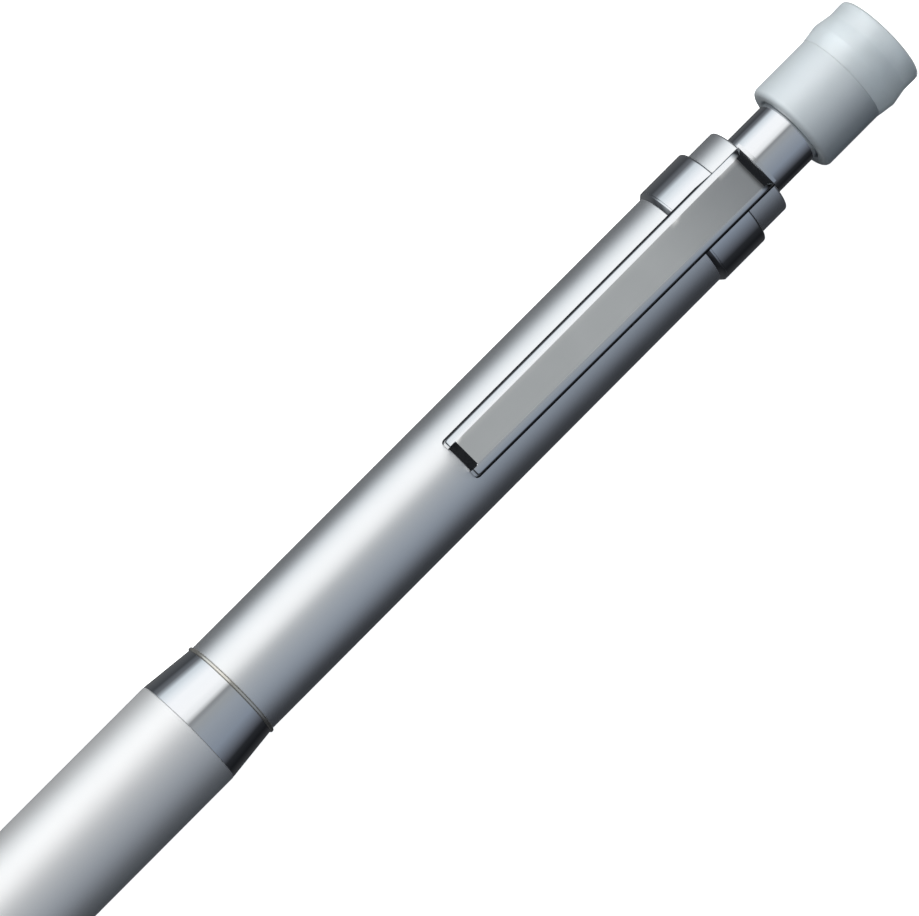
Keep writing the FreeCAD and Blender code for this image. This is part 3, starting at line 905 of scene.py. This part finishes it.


# Brightness of the studio, given by angle about the pencil: degrees from straight up towards +Y.
STUDIO = (
    (-180, (0.060, 0.062, 0.066)), (-125, (0.010, 0.011, 0.013)), (-104, (0.022, 0.024, 0.028)),
    (-90, (0.095, 0.104, 0.125)), (-60, (0.25, 0.29, 0.35)), (-20, (0.33, 0.365, 0.41)),
    (0, (0.355, 0.375, 0.39)), (5, (0.30, 0.315, 0.33)), (9, (0.28, 0.29, 0.30)),
    (13, (0.60, 0.615, 0.62)), (19, (0.93, 0.945, 0.955)), (34, (1.07, 1.08, 1.09)),
    (62, (1.06, 1.08, 1.10)), (76, (0.89, 0.94, 0.98)), (90, (0.68, 0.745, 0.79)),
    (97, (0.34, 0.37, 0.40)), (104, (0.15, 0.16, 0.175)), (111, (0.12, 0.13, 0.145)),
    (120, (0.060, 0.065, 0.072)), (134, (0.085, 0.09, 0.098)), (158, (0.11, 0.115, 0.12)),
    (180, (0.060, 0.062, 0.066)),
)


def math_node(nodes, links, operation, *values):
    """A Math node whose inputs are sockets or numbers; returns its output."""
    node = nodes.new("ShaderNodeMath")
    node.operation = operation
    for number, value in enumerate(values):
        if isinstance(value, (int, float)):
            node.inputs[number].default_value = value
        else:
            links.new(value, node.inputs[number])
    return node.outputs["Value"]


def make_world():
    """Studio round the pencil: a tall softbox on the +Y side, a grey card on the other.

    Both end before they come in line with the pencil, so faces that point along it stay dark.
    """
    world = bpy.data.worlds.new("studio")
    bpy.context.scene.world = world
    world.use_nodes = True
    nodes, links = world.node_tree.nodes, world.node_tree.links
    place = nodes.new("ShaderNodeTexCoord")
    split = nodes.new("ShaderNodeSeparateXYZ")
    links.new(place.outputs["Generated"], split.inputs["Vector"])
    angle = math_node(nodes, links, "ARCTAN2", split.outputs["Y"], split.outputs["Z"])
    share = nodes.new("ShaderNodeMapRange")
    share.inputs["From Min"].default_value = -math.pi
    share.inputs["From Max"].default_value = math.pi
    links.new(angle, share.inputs["Value"])
    ramp = nodes.new("ShaderNodeValToRGB")
    links.new(share.outputs["Result"], ramp.inputs["Fac"])
    stops = ramp.color_ramp.elements
    stops[0].position, stops[0].color = 0.0, (*STUDIO[0][1], 1)
    stops[1].position, stops[1].color = 1.0, (*STUDIO[-1][1], 1)
    for degrees, color in STUDIO[1:-1]:
        stop = stops.new((degrees + 180) / 360)
        stop.color = (*color, 1)
    bright_until, dark_from, dark_share = 0.55, 0.92, 0.12
    in_line = math_node(nodes, links, "ABSOLUTE", split.outputs["X"])
    fade = nodes.new("ShaderNodeMapRange")
    fade.interpolation_type = "SMOOTHSTEP"
    fade.inputs["From Min"].default_value = bright_until
    fade.inputs["From Max"].default_value = dark_from
    fade.inputs["To Min"].default_value = 1.0
    fade.inputs["To Max"].default_value = dark_share
    links.new(in_line, fade.inputs["Value"])
    links.new(ramp.outputs["Color"], nodes["Background"].inputs["Color"])
    links.new(fade.outputs["Result"], nodes["Background"].inputs["Strength"])


def make_camera():
    """Long lens, almost overhead, leaning 7.3 degrees towards the writing tip."""
    lean = math.radians(7.3)
    roll = math.radians(45.06)
    distance = 0.78
    from_tip, sideways = 84.55 * MM, 0.188 * MM
    aim = Vector((TIP + from_tip, sideways, AXIS_HEIGHT))
    back = Vector((-math.sin(lean), 0, math.cos(lean)))
    lengthwise = Vector((math.cos(lean), 0, math.sin(lean)))
    across = Vector((0, 1, 0))
    right = lengthwise * math.cos(roll) - across * math.sin(roll)
    up = lengthwise * math.sin(roll) + across * math.cos(roll)
    lens = bpy.data.cameras.new("camera")
    lens.sensor_width = 36.0
    lens.lens = 305.55
    lens.clip_end = 20.0
    camera = bpy.data.objects.new("camera", lens)
    bpy.context.scene.collection.objects.link(camera)
    turn = Matrix((right, up, back)).transposed().to_4x4()
    camera.matrix_world = Matrix.Translation(aim + back * distance) @ turn
    bpy.context.scene.camera = camera


paint_cad_nodes()
for make in (make_lead_pipe, make_tip_cone, make_grip, make_joint_ring, make_clear_ring,
             make_barrel, make_clip_band, make_clip_head, make_clip, make_push_rod,
             make_cap_sleeve, make_cap_cover, make_eraser, make_return_spring,
             make_floor, make_lights, make_world, make_camera):
    make()
bpy.context.scene.view_settings.view_transform = "Standard"
